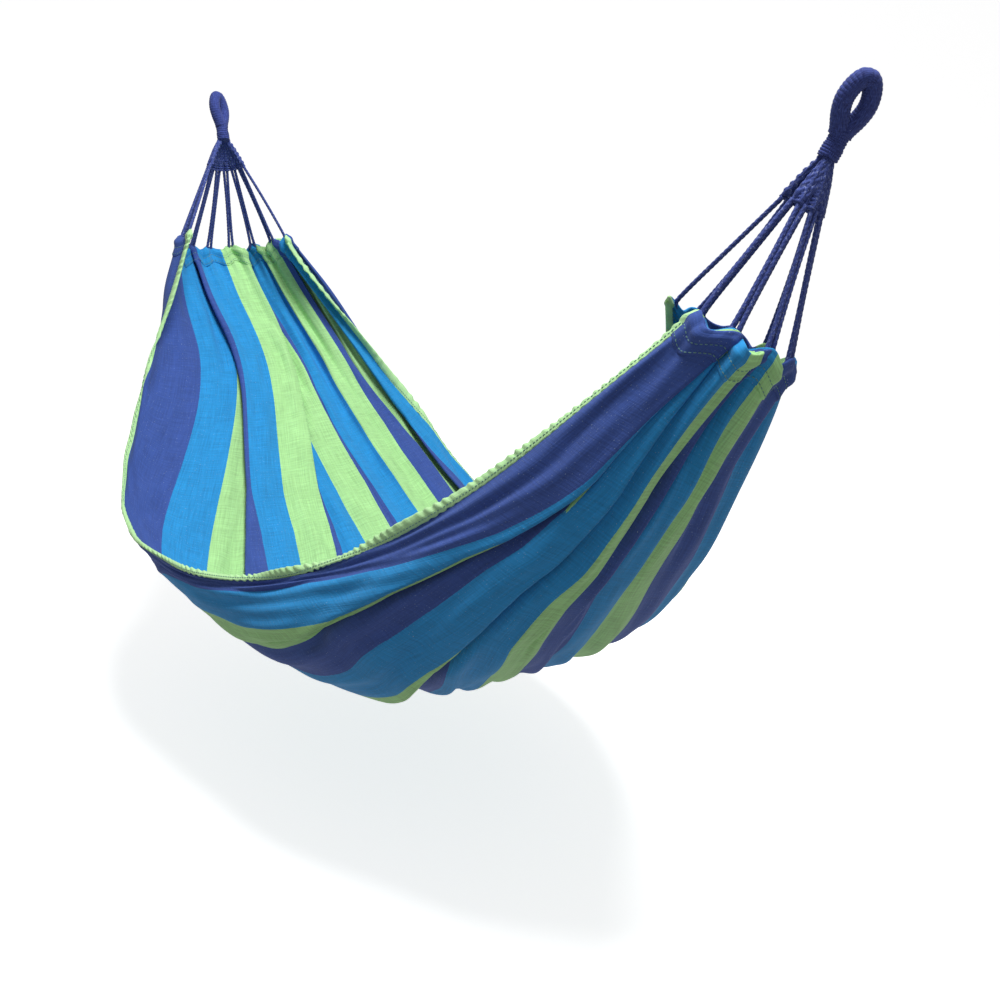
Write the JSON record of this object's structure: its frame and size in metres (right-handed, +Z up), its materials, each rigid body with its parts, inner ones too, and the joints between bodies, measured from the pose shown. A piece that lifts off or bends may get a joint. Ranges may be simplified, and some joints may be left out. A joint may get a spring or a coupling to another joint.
{
  "type": "hammock",
  "caption": "Gathered-end striped canvas hammock that hangs from wrapped rope eyes by fans of cotton cords.",
  "frame": {"origin": "halfway along the straight line between the two hook seats, which are the tops of the openings of the two rope eyes", "axes": "+X along the hammock from the left eye to the right eye, +Z up, +Y towards the far side rim"},
  "size_m": [1.5834, 0.8615, 0.9167],
  "materials": {
    "striped_canvas": "woven cotton canvas with navy, blue and lime stripes",
    "green_hem": "rolled cotton hem",
    "end_hem_canvas": "gathered and stitched canvas tunnel",
    "cotton_cord": "braided cotton cord",
    "plaited_rope": "plaited cotton cords",
    "rope_whipping": "tight cotton whipping",
    "wrapped_rope": "rope wrapped with cotton cord"
  },
  "bodies": {
    "eyes": {"left_eye": "wrapped_rope", "right_eye": "wrapped_rope"},
    "bed": {"cloth_left": "striped_canvas", "cloth_middle": "striped_canvas", "cloth_right": "striped_canvas", "near_side_hem": "green_hem", "far_side_hem": "green_hem", "left_end_hem": "end_hem_canvas", "left_crown": "plaited_rope", "left_whipping": "rope_whipping", "right_end_hem": "end_hem_canvas", "right_crown": "plaited_rope", "right_whipping": "rope_whipping", "left_cord_1": "cotton_cord", "left_cord_2": "cotton_cord", "left_cord_3": "cotton_cord", "left_cord_4": "cotton_cord", "left_cord_5": "cotton_cord", "left_cord_6": "cotton_cord", "left_cord_7": "cotton_cord", "left_cord_8": "cotton_cord", "right_cord_1": "cotton_cord", "right_cord_2": "cotton_cord", "right_cord_3": "cotton_cord", "right_cord_4": "cotton_cord", "right_cord_5": "cotton_cord", "right_cord_6": "cotton_cord", "right_cord_7": "cotton_cord", "right_cord_8": "cotton_cord"}
  },
  "joints": [
    {"name": "bed_swing", "type": "hinge", "parent": "eyes", "child": "bed", "pos_m": [0, 0, -0.05656], "axis": [1, 0, 0], "range_deg": [-35, 35]}
  ]
}
